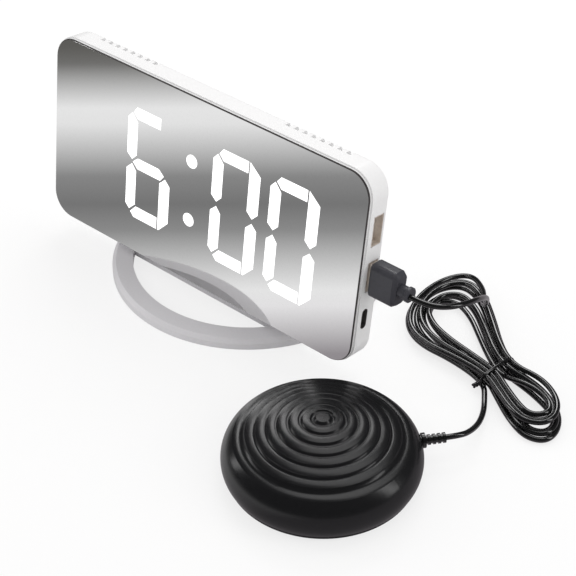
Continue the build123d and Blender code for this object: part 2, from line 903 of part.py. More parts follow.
def pad_top_shell():
    edges = pad_skin_edges()
    seam = edges[-1] @ 1
    inner_seam = (pad_seam_radius - pad_wall, 0, pad_seam_rise)
    belly = (pad_radius - pad_wall - pad_wall / 2, 0, pad_belly_rise)
    roof = [(r, 0, dome(r) - pad_wall) for r in pad_roof_radii]
    inside = Polyline(seam, inner_seam, belly, *roof, (0, 0, roof[-1][2]), (0, 0, pad_height))
    shell = revolve(Face(Wire(edges + inside.edges())), Axis.Z)
    low = (Align.CENTER, Align.CENTER, Align.MIN)
    for x, y in pad_screw_places():
        post = Pos(x, y, pad_floor + pad_post_gap) * Cylinder(pad_post_radius, pad_height, align=low)
        shell += post & pad_envelope()
    depth = pad_floor + pad_post_gap + screw_bite + cut_over
    for x, y in pad_screw_places():
        shell -= Pos(x, y, 0) * Cylinder(screw_radius + pilot_gap, depth, align=low)
    hole = Cylinder(relief_radius + relief_hole_gap, relief_wall + pad_wall, align=low)
    return pad(shell - relief_place(relief_seat() - relief_wall) * hole)


def pad_envelope():
    """The smooth space just inside the pad's skin."""
    half_wall = pad_wall / 2
    rim = pad_crest_radius
    points = [(0, 0, pad_height - half_wall), (rim / 2, 0, dome(rim / 2) - half_wall),
              (rim, 0, dome(rim) - half_wall), (rim, 0, 0), (0, 0, 0)]
    top = ThreePointArc(points[0], points[1], points[2])
    rest = Polyline(points[2], points[3], points[4], points[0])
    return revolve(Face(Wire([top] + rest.edges())), Axis.Z)


def pad_screw_places():
    places = []
    for i in range(3):
        angle = math.radians(relief_bearing + pad_screw_turn) + i * 2 * math.pi / 3
        places.append((pad_screw_circle * math.cos(angle), pad_screw_circle * math.sin(angle)))
    return places


def relief_place(radius):
    """A frame on the strain relief's axis at a radius of the pad, pointing outward."""
    angle = math.radians(relief_bearing)
    origin = (radius * math.cos(angle), radius * math.sin(angle), relief_rise)
    return Location(Plane(origin=origin, z_dir=(math.cos(angle), math.sin(angle), 0)))


def pad_base_shell():
    radius = pad_seam_radius - pad_base_inset
    top = pad_seam_rise - pad_seam_gap
    body = Cylinder(radius, top, align=(Align.CENTER, Align.CENTER, Align.MIN))
    body = chamfer(body.faces().sort_by(Axis.Z)[0].edges(), pad_base_inset)
    body -= Pos(0, 0, pad_floor) * Cylinder(pad_rib_radius - pad_rib_width, pad_floor,
                                            align=(Align.CENTER, Align.CENTER, Align.MIN))
    rib = Cylinder(pad_rib_radius, pad_rib_height, align=(Align.CENTER, Align.CENTER, Align.MIN))
    rib -= Cylinder(pad_rib_radius - pad_rib_width, pad_rib_height,
                    align=(Align.CENTER, Align.CENTER, Align.MIN))
    body += Pos(0, 0, top) * rib
    body += motor_cradle()
    for x, y in pad_screw_places():
        bore = Cylinder(screw_radius + screw_bore_gap, pad_height, align=(Align.CENTER, Align.CENTER, Align.CENTER))
        head = Cylinder(screw_head_radius + screw_bore_gap, 2 * pad_floor / 3,
                        align=(Align.CENTER, Align.CENTER, Align.MIN))
        body -= Pos(x, y, 0) * bore
        body -= Pos(x, y, -pad_floor / 6) * head
    return pad(body)


def motor_cradle():
    """The trough under the motor and the two pads for the bracket's feet."""
    x0 = motor_x + cradle_block_margin
    x1 = motor_x + motor_length - cradle_block_margin
    half = motor_radius - cradle_block_margin
    low = pad_floor - fit_gap
    body = block(x0, x1, -half, half, low, cradle_block_height)
    trough = motor_cylinder(motor_radius + bracket_gap, motor_x, motor_length)
    body -= trough
    middle = bracket_middle()
    for side in (-1, 1):
        inner = side * (motor_radius + bracket_gap)
        outer = side * (motor_radius + bracket_gap + bracket_thickness + bracket_foot)
        y0, y1 = sorted((inner, outer))
        pedestal = block(middle - bracket_width / 2, middle + bracket_width / 2, y0, y1,
                         low, pad_floor + bracket_pad_height)
        y = side * (motor_radius + bracket_thickness + bracket_foot / 2)
        pilot = Pos(middle, y, pad_floor) * Cylinder(
            board_screw_radius + pilot_gap, pad_height, align=(Align.CENTER, Align.CENTER, Align.MIN))
        body += pedestal - pilot
    return body


def bracket_middle():
    return motor_x + motor_length / 2


def motor_cylinder(radius, start, length):
    """A cylinder along the motor's axis, in the pad's frame."""
    return Pos(start, 0, motor_rise) * Rot(0, 90, 0) * Cylinder(
        radius, length, align=(Align.CENTER, Align.CENTER, Align.MIN))


def motor_can():
    body = motor_cylinder(motor_radius, motor_x, motor_length)
    body = chamfer(body.faces().sort_by(Axis.X)[-1].edges(), bracket_thickness)
    body += motor_cylinder(motor_nose_radius, motor_x + motor_length, motor_nose_length)
    bore = motor_cylinder(shaft_radius + shaft_bore_gap, motor_x + motor_length / 2, motor_length)
    return pad(body - bore)


def motor_cap():
    return pad(motor_cylinder(motor_radius - bracket_thickness, motor_x - motor_cap_length, motor_cap_length))


def motor_shaft():
    start = motor_x + motor_length / 2 + fit_gap
    return pad(motor_cylinder(shaft_radius, start, motor_length / 2 + shaft_reach))


def weight_start():
    return motor_x + motor_length + motor_nose_length + weight_gap


def eccentric_weight():
    start = weight_start()
    lobe = motor_cylinder(weight_radius, start, weight_length)
    reach = 2 * weight_radius
    lobe -= block(start - cut_over, start + weight_length + cut_over, -reach, reach,
                  motor_rise, motor_rise + reach)
    body = lobe + motor_cylinder(weight_hub_radius, start, weight_length)
    bore = motor_cylinder(shaft_radius + shaft_bore_gap, start - cut_over, weight_length + 2 * cut_over)
    return pad(body - bore)


def motor_bracket():
    inner = motor_radius + bracket_gap
    outer = inner + bracket_thickness
    middle = bracket_middle()
    start = middle - bracket_width / 2
    hoop = motor_cylinder(outer, start, bracket_width) - motor_cylinder(inner, start, bracket_width)
    foot_low = pad_floor + bracket_pad_height
    hoop -= block(start - cut_over, start + bracket_width + cut_over, -2 * outer, 2 * outer, -outer, motor_rise)
    body = hoop
    for side in (-1, 1):
        y0, y1 = sorted((side * inner, side * outer))
        body += block(start, start + bracket_width, y0, y1, foot_low, motor_rise)
        y0, y1 = sorted((side * inner, side * (outer + bracket_foot)))
        foot = block(start, start + bracket_width, y0, y1, foot_low, foot_low + bracket_thickness)
        y = side * (motor_radius + bracket_thickness + bracket_foot / 2)
        foot -= Pos(middle, y, foot_low) * Cylinder(board_screw_radius + screw_bore_gap, 4 * bracket_thickness)
        body += foot
    return pad(body)


def bracket_screws():
    screws = []
    seat = pad_floor + bracket_pad_height + bracket_thickness
    for side in (-1, 1):
        y = side * (motor_radius + bracket_thickness + bracket_foot / 2)
        place = Pos(bracket_middle(), y, seat)
        shank = Cylinder(board_screw_radius, board_screw_bite, align=(Align.CENTER, Align.CENTER, Align.MAX))
        head = Cylinder(board_screw_head_radius, board_screw_head_thickness,
                        align=(Align.CENTER, Align.CENTER, Align.MIN))
        screws.append(pad(place * (shank + head)))
    return Compound(screws)


def pad_screws():
    screws = []
    seat = pad_floor / 2
    for x, y in pad_screw_places():
        head = Cylinder(screw_head_radius, seat - fit_gap, align=(Align.CENTER, Align.CENTER, Align.MAX))
        shank = Cylinder(screw_radius, screw_bite + pad_floor / 2, align=(Align.CENTER, Align.CENTER, Align.MIN))
        screws.append(pad(Pos(x, y, seat) * (head + shank)))
    return Compound(screws)


def relief_profile():
    """Half of the strain relief's outline: a flange inside, a collar and ribs outside."""
    body = relief_radius
    groove = relief_radius - relief_groove
    inner_end = -relief_wall - relief_flange
    points = [(0, inner_end), (relief_collar_radius, inner_end), (relief_collar_radius, -relief_wall),
              (body, -relief_wall), (body, fit_gap)]
    points += [(relief_collar_radius, fit_gap), (relief_collar_radius, relief_collar_length)]
    at = relief_collar_length
    for i in range(relief_rib_count):
        points += [(groove, at), (groove, at + relief_rib_pitch / 2)]
        points += [(body, at + relief_rib_pitch / 2), (body, at + relief_rib_pitch)]
        at += relief_rib_pitch
    points += [(0, at)]
    return points


def strain_relief():
    points = [(r, 0, h) for r, h in relief_profile()]
    outline = Face(Wire.make_polygon([Vector(*p) for p in points], close=True))
    return pad(relief_place(relief_seat()) * revolve(outline, Axis.Z))


def relief_seat():
    """Radius at which the strain relief's collar meets the pad's side."""
    return pad_radius + fit_gap


def relief_tip():
    angle = math.radians(relief_bearing)
    reach = relief_seat() + relief_length
    return Vector(pad_x + reach * math.cos(angle), pad_y + reach * math.sin(angle), relief_rise)


def motor_leads():
    """Two wires from the strain relief to the motor's rear cap."""
    wires = []
    angle = math.radians(relief_bearing)
    reach = relief_seat() - relief_wall - relief_flange
    outward = Vector(math.cos(angle), math.sin(angle), 0)
    across = Vector(-math.sin(angle), math.cos(angle), 0)
    cap = motor_x - motor_cap_length
    for side in (-1, 1):
        start = outward * reach + across * (side * wire_spacing / 2) + Vector(0, 0, relief_rise)
        bend = start - outward * wire_bend
        turn = Vector(0, motor_radius + bracket_foot + wire_bend, relief_rise) - outward * (side * wire_spacing / 2)
        back = Vector(cap - wire_bend, motor_radius, relief_rise + side * wire_spacing)
        last = Vector(cap - wire_bend, side * wire_spacing, motor_rise + side * wire_spacing)
        end = Vector(cap, side * wire_spacing, motor_rise + side * wire_spacing)
        path = FilletPolyline(start, bend, turn, back, last, end, radius=wire_bend / 3)
        section = Plane(origin=path @ 0, z_dir=path % 0) * RegularPolygon(wire_radius, cord_sides)
        wires.append(pad(sweep(section, path=path)))
    return Compound(wires)


# Cord
def hank_world(s, t, z):
    """The place in the world of a point along and across the hank."""
    angle = math.radians(hank_bearing)
    x = hank_x + s * math.cos(angle) - t * math.sin(angle)
    y = hank_y + s * math.sin(angle) + t * math.cos(angle)
    return Vector(x, y, z)


def inward_steps():
    """How far each corner of the outermost loop moves for one loop inward."""
    steps = []
    count = len(hank_outline)
    for i in range(count):
        before = Vector(*hank_outline[i - 1])
        here = Vector(*hank_outline[i])
        after = Vector(*hank_outline[(i + 1) % count])
        come = (here - before).normalized()
        go = (after - here).normalized()
        left_come = Vector(-come.Y, come.X)
        left_go = Vector(-go.Y, go.X)
        bisector = (left_come + left_go).normalized()
        length = hank_pitch / bisector.dot(left_come)
        if i % 4 == 0:
            steps.append(Vector(0, -hank_waist_step if here.Y > 0 else hank_waist_step))
        else:
            steps.append(bisector * length)
    return steps


def hank_corner(index, inset, layer):
    """A corner and its radius, drawn in by a number of loops, on a layer from the floor."""
    count = len(hank_outline)
    i = index % count
    place = Vector(*hank_outline[i]) + inward_steps()[i] * inset
    z = cord_radius + cord_floor_gap + layer * hank_layer_step
    waist = i % 4 == 0
    if waist:
        z += hank_waist_lift
    radius = hank_radii[i] + (hank_pitch if waist else -hank_pitch) * inset
    return Vector(place.X, place.Y, z), radius


def upper_layer(index):
    """The layer of an upper corner: the first ones still lie on top, and the rest have settled."""
    return 1 + max(0, 1 - (index - 1) / hank_settle_corners)


def hank_corners():
    """The corners of the upper layer winding in and the lower layer winding out again."""
    count = len(hank_outline)
    turned = hank_turns * count
    last = 2 * turned - count // 2
    corners = [hank_corner(i, i / count, upper_layer(i)) for i in range(1, turned)]
    corners[0] = (corners[0][0], hank_start_radius)
    corners += [hank_corner(i, (2 * turned - i) / count, 0) for i in range(turned, last)]
    place, radius = hank_corner(last, hank_tail_inset, 0)
    corners.append((place, hank_tail_radius))
    return corners


def hank_path():
    corners = hank_corners()
    start = Vector(*hank_start, cord_radius + cord_floor_gap + hank_layer_step + hank_start_lift)
    angle = math.radians(hank_tail_bearing)
    end = corners[-1][0] + Vector(math.cos(angle), math.sin(angle)) * hank_tail_run
    end = Vector(end.X, end.Y, end.Z - hank_tail_drop)
    points = [start] + [corner for corner, radius in corners] + [end]
    world = [hank_world(p.X, p.Y, p.Z) for p in points]
    return FilletPolyline(*world, radius=[radius for corner, radius in corners])


def tube(path):
    """A faceted tube of the cord's diameter along a path."""
    across = cord_radius / math.cos(math.pi / (2 * cord_sides))
    section = Plane(origin=path @ 0, z_dir=path % 0) * RegularPolygon(across, cord_sides)
    body = sweep(section, path=path)
    print("tube volume", round(body.volume, 1), "section times length", round(section.area * path.length, 1))
    return body


def path_points(path):
    """Points along a path, a cord radius apart."""
    count = int(path.length / cord_radius)
    return [path @ (i / count) for i in range(count + 1)]


def least_gap(points):
    """The smallest gap between points of a path that aren't next to each other along it."""
    cells = {}
    size = 2 * cord_diameter
    for i, p in enumerate(points):
        cells.setdefault((p.X // size, p.Y // size), []).append(i)
    least = size
    around = (-1, 0, 1)
    for (a, b), members in cells.items():
        near = [j for da in around for db in around for j in cells.get((a + da, b + db), [])]
        for i in members:
            for j in near:
                if j > i + cord_sides:
                    least = min(least, (points[i] - points[j]).length)
    return least - cord_diameter


def route_radii(points):
    radii = []
    for before, here, after in zip(points, points[1:], points[2:]):
        come = here - before
        go = after - here
        turn = math.radians(come.get_angle(go))
        radii.append(cord_radius_share * min(come.length, go.length) / math.tan(turn / 2))
    print("cord arc radii", [round(r, 1) for r in radii])
    return radii


def pad_route(hank):
    """The free stretch from the pad's strain relief to the hank's lower end."""
    angle = math.radians(relief_bearing)
    tip = relief_tip()
    end = hank @ 1
    leave = Vector(*(hank % 1))
    first = tip + Vector(math.cos(angle), math.sin(angle), 0) * pad_lead_run
    return [tip, first, Vector(142.2, -10.5, 5.6), Vector(140.0, -0.5, 2.6), end + leave * pad_lead_run, end]


def plug_route(hank):
    """The free stretch from the plug's collar down to the hank's upper start."""
    start = clock_point(plug_end, usb_line, usb_lower_rise)
    end = hank @ 0
    arrive = Vector(*(hank % 0))
    last = end - arrive * hank_lead_run
    return [start, start + Vector(hank_lead_run, 0, 0), Vector(120.5, -1.0, 49.0), Vector(123.5, 7.5, 47.5),
            Vector(123.0, 17.0, 44.0), Vector(120.0, 26.0, 38.0), Vector(115.5, 34.5, 29.5),
            Vector(110.0, 42.0, 19.5), last, end]


def cord_stretch(points):
    path = FilletPolyline(*points, radius=route_radii(points))
    print("free stretch", round(path.length, 1))
    return tube(path)


def waist_limits(points):
    """Lowest and highest place of the strands at the waist, across the hank and above the floor."""
    angle = math.radians(hank_bearing)
    across = []
    heights = []
    for p in points:
        dx = p.X - hank_x
        dy = p.Y - hank_y
        s = dx * math.cos(angle) + dy * math.sin(angle)
        if abs(s - hank_waist) < tie_width:
            across.append(dy * math.cos(angle) - dx * math.sin(angle))
            heights.append(p.Z)
    return min(across), max(across), min(heights), max(heights)


def cable_tie(points):
    """A flat tie round the hank's waist, with a short twisted tail."""
    left, right, low, high = waist_limits(points)
    corner = cord_radius + tie_gap
    inner = RectangleRounded(right - left + 2 * corner, high - low + 2 * corner, corner)
    ring = extrude(offset(inner, tie_thickness) - inner, amount=tie_width / 2, both=True)
    middle_t = (left + right) / 2
    middle_z = (low + high) / 2
    upright = Plane(origin=(hank_waist, middle_t, middle_z), x_dir=(0, 1, 0), z_dir=(1, 0, 0))
    body = Location(upright) * ring
    tail_place = Pos(hank_waist, left - corner - tie_thickness / 2, middle_z) * Rot(tie_tail_lean, 0, 0)
    body += tail_place * Cone(tie_tail_radius, tie_tail_radius / 2, tie_tail,
                              align=(Align.CENTER, Align.CENTER, Align.MIN))
    return Location((hank_x, hank_y, 0), (0, 0, hank_bearing)) * body


# Plug
def plug_shell():
    x0 = plug_back - plug_shell_length
    x1 = plug_back + plug_shell_seat
    outer = plug_box(x0, x1, plug_shell_thin, plug_shell_tall)
    wall = 2 * plug_shell_wall
    inner = plug_box(x0 - cut_over, x1 + cut_over, plug_shell_thin - wall, plug_shell_tall - wall)
    body = outer - inner
    for side in (-1, 1):
        x = x0 + plug_window_setback
        z = usb_lower_rise + side * plug_window_offset
        half = plug_window_size / 2
        body -= block(x - half, x + half, usb_line - plug_shell_thin, usb_line + plug_shell_thin,
                      z - half, z + half)
    return clock(body)


def plug_box(x0, x1, thin, tall):
    return block(x0, x1, usb_line - thin / 2, usb_line + thin / 2,
                 usb_lower_rise - tall / 2, usb_lower_rise + tall / 2)


def plug_insert():
    x0 = plug_back - plug_shell_length + plug_shell_wall
    inner = plug_shell_thin / 2 - plug_shell_wall - plug_insert_gap
    half = plug_shell_tall / 2 - plug_shell_wall - plug_insert_gap
    y0 = usb_line - inner
    blade = block(x0, plug_back, y0, y0 + plug_insert_thickness, usb_lower_rise - half, usb_lower_rise + half)
    root = block(plug_back - plug_shell_wall, plug_back + plug_shell_seat, y0, usb_line + inner,
                 usb_lower_rise - half, usb_lower_rise + half)
    return clock(blade + root)


def plug_section(x, tall, thin, corner):
    return Plane.YZ.offset(x) * Pos(usb_line, usb_lower_rise) * RectangleRounded(thin, tall, corner)


def plug_overmold():
    edge = plug_grip_edge
    x1 = plug_back + plug_grip_length
    small = plug_section(plug_back, plug_grip_tall - 2 * edge, plug_grip_thin - 2 * edge, plug_grip_corner - edge)
    full = plug_section(plug_back + edge, plug_grip_tall, plug_grip_thin, plug_grip_corner)
    waist = plug_section(x1 - 2 * edge, plug_grip_tall, plug_grip_thin, plug_grip_corner)
    end = plug_section(x1, plug_grip_tall - 3 * edge, plug_grip_thin - 2 * edge, plug_grip_corner - edge)
    grip = loft([small, full]) + loft([full, waist]) + loft([waist, end])
    neck = Plane.YZ.offset(x1 - edge) * Pos(usb_line, usb_lower_rise) * Circle(plug_neck_radius)
    ring = Plane.YZ.offset(x1 + plug_neck_length) * Pos(usb_line, usb_lower_rise) * Circle(plug_collar_radius)
    body = grip + extrude(neck, amount=plug_neck_length + edge)
    body += chamfer(extrude(ring, amount=plug_collar_length).edges(), plug_collar_length / 6)
    gap = 2 * plug_insert_gap
    body -= plug_box(plug_back - cut_over, plug_back + plug_shell_seat + gap / 2,
                     plug_shell_thin + gap, plug_shell_tall + gap)
    return clock(body)


def clock_parts():
    parts = {
        "mirror_panel": mirror_panel(),
        "front_frame": front_frame(),
        "rear_cover": rear_cover(),
        "case_screws": case_screws(),
        "digit_reflector": digit_reflector(),
        "light_guides": light_guides(),
        "display_board": display_board(),
        "led_chips": led_chips(),
        "board_screws": board_screws(),
        "main_board": main_board(),
        "usb_port_upper": usb_port(usb_upper_rise),
        "usb_tongue_upper": usb_tongue(usb_upper_rise),
        "usb_port_lower": usb_port(usb_lower_rise),
        "usb_tongue_lower": usb_tongue(usb_lower_rise),
        "power_socket": power_socket(),
        "power_tongue": power_tongue(),
        "buzzer": buzzer(),
        "coin_cell": coin_cell(),
        "battery_door": battery_door(),
        "tact_switches": tact_switches(),
        "slide_switch": slide_switch(),
        "slide_knob": slide_knob(),
        "snooze_key": snooze_key(),
    }
    names = ("mode_key", "alarm_key", "down_key", "up_key")
    for name, (x, z) in zip(names, key_places()):
        parts[name] = set_key(x, z)
    return {name: clock(shape) for name, shape in parts.items()}


def pad_parts():
    return {
        "pad_top_shell": pad_top_shell(),
        "pad_base_shell": pad_base_shell(),
        "pad_screws": pad_screws(),
        "motor_can": motor_can(),
        "motor_cap": motor_cap(),
        "motor_shaft": motor_shaft(),
        "eccentric_weight": eccentric_weight(),
        "motor_bracket": motor_bracket(),
        "bracket_screws": bracket_screws(),
        "motor_leads": motor_leads(),
        "strain_relief": strain_relief(),
    }


def cord_parts():
    hank = hank_path()
    points = path_points(hank)
    print("hank length", round(hank.length, 1), "least gap", round(least_gap(points), 2))
    return {
        "cord_hank": tube(hank),
        "pad_lead": cord_stretch(pad_route(hank)),
        "plug_lead": cord_stretch(plug_route(hank)),
        "cable_tie": cable_tie(points),
        "plug_shell": plug_shell(),
        "plug_insert": plug_insert(),
        "plug_overmold": plug_overmold(),
    }


parts = {**clock_parts(), "stand": stand(), **pad_parts(), **cord_parts()}
os.makedirs("parts", exist_ok=True)
for name, shape in parts.items():
    export_step(shape, "parts/" + name + ".step")
print(len(parts), "nodes")
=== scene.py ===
import bpy
import json
import math
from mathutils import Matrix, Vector


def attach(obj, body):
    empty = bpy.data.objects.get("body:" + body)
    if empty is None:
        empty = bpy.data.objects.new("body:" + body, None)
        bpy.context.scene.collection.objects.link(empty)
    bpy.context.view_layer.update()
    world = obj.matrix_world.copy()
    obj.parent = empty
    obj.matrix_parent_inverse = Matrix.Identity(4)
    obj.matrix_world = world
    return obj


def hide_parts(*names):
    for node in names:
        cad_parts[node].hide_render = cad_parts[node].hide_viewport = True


# Bed shaker alarm clock: looks, cord, lights and camera. Places are typed in millimetres.
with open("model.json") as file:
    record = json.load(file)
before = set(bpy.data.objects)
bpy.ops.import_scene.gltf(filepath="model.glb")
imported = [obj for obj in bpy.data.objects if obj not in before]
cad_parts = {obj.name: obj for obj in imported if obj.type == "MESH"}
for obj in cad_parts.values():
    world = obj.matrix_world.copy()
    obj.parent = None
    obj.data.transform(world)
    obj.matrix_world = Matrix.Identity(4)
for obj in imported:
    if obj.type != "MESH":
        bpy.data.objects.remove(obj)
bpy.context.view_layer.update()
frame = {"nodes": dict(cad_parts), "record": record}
nodes = frame["nodes"]
scene = bpy.context.scene
scene.view_settings.view_transform = "Standard"
mm = 0.001

# Camera
camera_place = (392.7, -406.0, 430.8)
camera_azimuth = 41.02
camera_elevation = 37.56
camera_lens = 101.57
camera_sensor = 36.0
camera_reach = 20.0

# Clock: the lean and place are the model's, and the digits are as the photograph shows them
lean = 7.5
mirror_lift = 9.5
mirror_place = -17.0
digit_width = 25.4
digit_height = 52.2
digit_centres = (-28.8, 20.0, 50.8)
display_low = 16.9
colon_x = -4.4
colon_rises = (29.3, 56.7)
dot_radius = 3.0
dot_sides = 32
lit_thickness = 0.06

# Cord: the hank lies where the model's does
cord_diameter = 2.3
spline_order = 3
spline_steps = 10
bevel_steps = 5
hank_place = (127.3, 27.9)
hank_bearing = -23.6
low_height = 1.27
layer_height = 3.6
waist_lift = 1.2
loop_stagger = 0.75
hank_first = 4
hank_turn = 54
hank_last = 118
waist_points = (0, 10)
tie_radius = 0.62
tie_points = 24
tie_middle = (2.0, -1.3, 4.2)
tie_half = (0.0, 9.2, 3.4)
tie_squareness = 0.7
tie_slant = 0.3
tie_twist_points = 12
tie_twist_turns = 1.5
tie_twist_length = 2.4
tie_twist_drop = 2.0
tie_twist_lean = 2.0
tie_strand_thickness = 1.7

# Surfaces
rim_depth = 0.75
face_depth = 0.02
edge_dark = (0.05, 0.045, 0.045)
edge_milky = (0.72, 0.72, 0.72)
edge_roughness = 0.3
lit_roughness = 0.35
coat_roughness = 0.08
broad_detail = 4.0
fine_detail = 2.0
tone_from = 0.3
tone_to = 0.7
relief_strength = 0.6


# Light: the floor is banded in the mirror, by a ramp over the height in the picture at which each floor point
# is seen there, which is a ratio of two sums over the floor's x and y
band_rise = (730.05, 257.86, 0.0)
band_start = 312.7
band_shrink = (0.759, 1.073, 0.0)
band_stops = (
    (46, (0.115, 0.112, 0.105)), (64, (0.170, 0.168, 0.162)),
    (108, (0.84, 0.84, 0.84)), (124, (0.81, 0.81, 0.81)),
    (176, (0.255, 0.255, 0.255)), (204, (0.187, 0.187, 0.187)), (230, (0.27, 0.27, 0.27)),
    (290, (0.83, 0.83, 0.83)), (306, (0.81, 0.80, 0.81)), (354, (0.30, 0.28, 0.295)),
)
picture_height = 576.0
floor_half = 3.0
floor_white = (0.9, 0.9, 0.9)
floor_evenness = 0.75
world_colour = (0.975, 0.965, 0.965)
world_strength = 0.78
world_gloss = 0.06


def clock_place(x, depth, rise):
    """The place in the world, in metres, of a point in the clock's leaning frame."""
    angle = math.radians(lean)
    y = mirror_place + depth * math.cos(angle) + rise * math.sin(angle)
    z = mirror_lift - depth * math.sin(angle) + rise * math.cos(angle)
    return Vector((x, y, z)) * mm


# Camera, floor and lights
def make_camera():
    data = bpy.data.cameras.new("camera")
    data.lens = camera_lens
    data.sensor_width = camera_sensor
    data.clip_end = camera_reach
    camera = bpy.data.objects.new("camera", data)
    camera.location = Vector(camera_place) * mm
    tilt = math.radians(90.0 - camera_elevation)
    camera.rotation_euler = (tilt, 0.0, math.radians(camera_azimuth))
    scene.collection.objects.link(camera)
    scene.camera = camera


def make_floor():
    corners = [(x * floor_half, y * floor_half, 0) for x, y in ((-1, -1), (1, -1), (1, 1), (-1, 1))]
    mesh = bpy.data.meshes.new("floor")
    mesh.from_pydata(corners, [], [(0, 1, 2, 3)])
    floor = bpy.data.objects.new("floor", mesh)
    scene.collection.objects.link(floor)
    floor.data.materials.append(floor_material())


def floor_material():
    """White to the camera with a faint shadow, and banded light and dark to what reflects it."""
    material = bpy.data.materials.new("floor")
    material.use_nodes = True
    tree = material.node_tree
    tree.nodes.clear()
    place = tree.nodes.new("ShaderNodeTexCoord")
    rise = tree.nodes.new("ShaderNodeVectorMath")
    rise.operation = "DOT_PRODUCT"
    rise.inputs[1].default_value = band_rise
    tree.links.new(place.outputs["Object"], rise.inputs[0])
    top = tree.nodes.new("ShaderNodeMath")
    top.operation = "ADD"
    top.inputs[1].default_value = band_start
    tree.links.new(rise.outputs["Value"], top.inputs[0])
    shrink = tree.nodes.new("ShaderNodeVectorMath")
    shrink.operation = "DOT_PRODUCT"
    shrink.inputs[1].default_value = band_shrink
    tree.links.new(place.outputs["Object"], shrink.inputs[0])
    bottom = tree.nodes.new("ShaderNodeMath")
    bottom.operation = "SUBTRACT"
    bottom.inputs[0].default_value = 1.0
    tree.links.new(shrink.outputs["Value"], bottom.inputs[1])
    height = tree.nodes.new("ShaderNodeMath")
    height.operation = "DIVIDE"
    tree.links.new(top.outputs["Value"], height.inputs[0])
    tree.links.new(bottom.outputs["Value"], height.inputs[1])
    share = tree.nodes.new("ShaderNodeMath")
    share.operation = "DIVIDE"
    share.inputs[1].default_value = picture_height
    tree.links.new(height.outputs["Value"], share.inputs[0])
    ramp = tree.nodes.new("ShaderNodeValToRGB")
    stops = ramp.color_ramp.elements
    while len(stops) < len(band_stops):
        stops.new(1.0)
    for stop, (seen_at, colour) in zip(stops, band_stops):
        stop.position = seen_at / picture_height
        stop.color = (*colour, 1.0)
    tree.links.new(share.outputs["Value"], ramp.inputs["Fac"])
    bands = tree.nodes.new("ShaderNodeEmission")
    tree.links.new(ramp.outputs["Color"], bands.inputs["Color"])
    lit = tree.nodes.new("ShaderNodeBsdfDiffuse")
    lit.inputs["Color"].default_value = (*floor_white, 1.0)
    white = tree.nodes.new("ShaderNodeEmission")
    white.inputs["Color"].default_value = (1.0, 1.0, 1.0, 1.0)
    seen = tree.nodes.new("ShaderNodeMixShader")
    seen.inputs["Fac"].default_value = floor_evenness
    tree.links.new(lit.outputs["BSDF"], seen.inputs[1])
    tree.links.new(white.outputs["Emission"], seen.inputs[2])
    path = tree.nodes.new("ShaderNodeLightPath")
    to_camera = tree.nodes.new("ShaderNodeMixShader")
    tree.links.new(path.outputs["Is Camera Ray"], to_camera.inputs["Fac"])
    tree.links.new(lit.outputs["BSDF"], to_camera.inputs[1])
    tree.links.new(seen.outputs["Shader"], to_camera.inputs[2])
    to_gloss = tree.nodes.new("ShaderNodeMixShader")
    tree.links.new(path.outputs["Is Glossy Ray"], to_gloss.inputs["Fac"])
    tree.links.new(to_camera.outputs["Shader"], to_gloss.inputs[1])
    tree.links.new(bands.outputs["Emission"], to_gloss.inputs[2])
    end = tree.nodes.new("ShaderNodeOutputMaterial")
    tree.links.new(to_gloss.outputs["Shader"], end.inputs["Surface"])
    return material


def make_world():
    world = bpy.data.worlds.new("studio")
    scene.world = world
    world.use_nodes = True
    tree = world.node_tree
    tree.nodes.clear()
    path = tree.nodes.new("ShaderNodeLightPath")
    soft = tree.nodes.new("ShaderNodeBackground")
    soft.inputs["Color"].default_value = (*world_colour, 1.0)
    soft.inputs["Strength"].default_value = world_strength
    dim = tree.nodes.new("ShaderNodeBackground")
    dim.inputs["Strength"].default_value = world_gloss
    white = tree.nodes.new("ShaderNodeBackground")
    white.inputs["Strength"].default_value = 1.0
    glossy = tree.nodes.new("ShaderNodeMixShader")
    tree.links.new(path.outputs["Is Glossy Ray"], glossy.inputs["Fac"])
    tree.links.new(soft.outputs["Background"], glossy.inputs[1])
    tree.links.new(dim.outputs["Background"], glossy.inputs[2])
    mix = tree.nodes.new("ShaderNodeMixShader")
    tree.links.new(path.outputs["Is Camera Ray"], mix.inputs["Fac"])
    tree.links.new(glossy.outputs["Shader"], mix.inputs[1])
    tree.links.new(white.outputs["Background"], mix.inputs[2])
    end = tree.nodes.new("ShaderNodeOutputWorld")
    tree.links.new(mix.outputs["Shader"], end.inputs["Surface"])


def soft_light(name, place, aim, width, height, power):
    data = bpy.data.lights.new(name, "AREA")
    data.shape = "RECTANGLE"
    data.size = width * mm
    data.size_y = height * mm
    data.energy = power
    light = bpy.data.objects.new(name, data)
    light.location = Vector(place) * mm
    away = (Vector(place) - Vector(aim)).normalized()
    light.rotation_mode = "QUATERNION"
    light.rotation_quaternion = away.to_track_quat("Z", "Y")
    scene.collection.objects.link(light)


make_camera()
make_world()
make_floor()
middle = (30.0, -20.0, 20.0)
soft_light("top_light", (-40.0, 320.0, 900.0), middle, 600.0, 440.0, 1.2)
soft_light("back_light", (-330.0, 430.0, 560.0), middle, 420.0, 230.0, 1.5)
soft_light("left_light", (-700.0, -350.0, 380.0), middle, 160.0, 600.0, 0.9)
soft_light("right_light", (700.0, 260.0, 380.0), middle, 160.0, 600.0, 0.9)


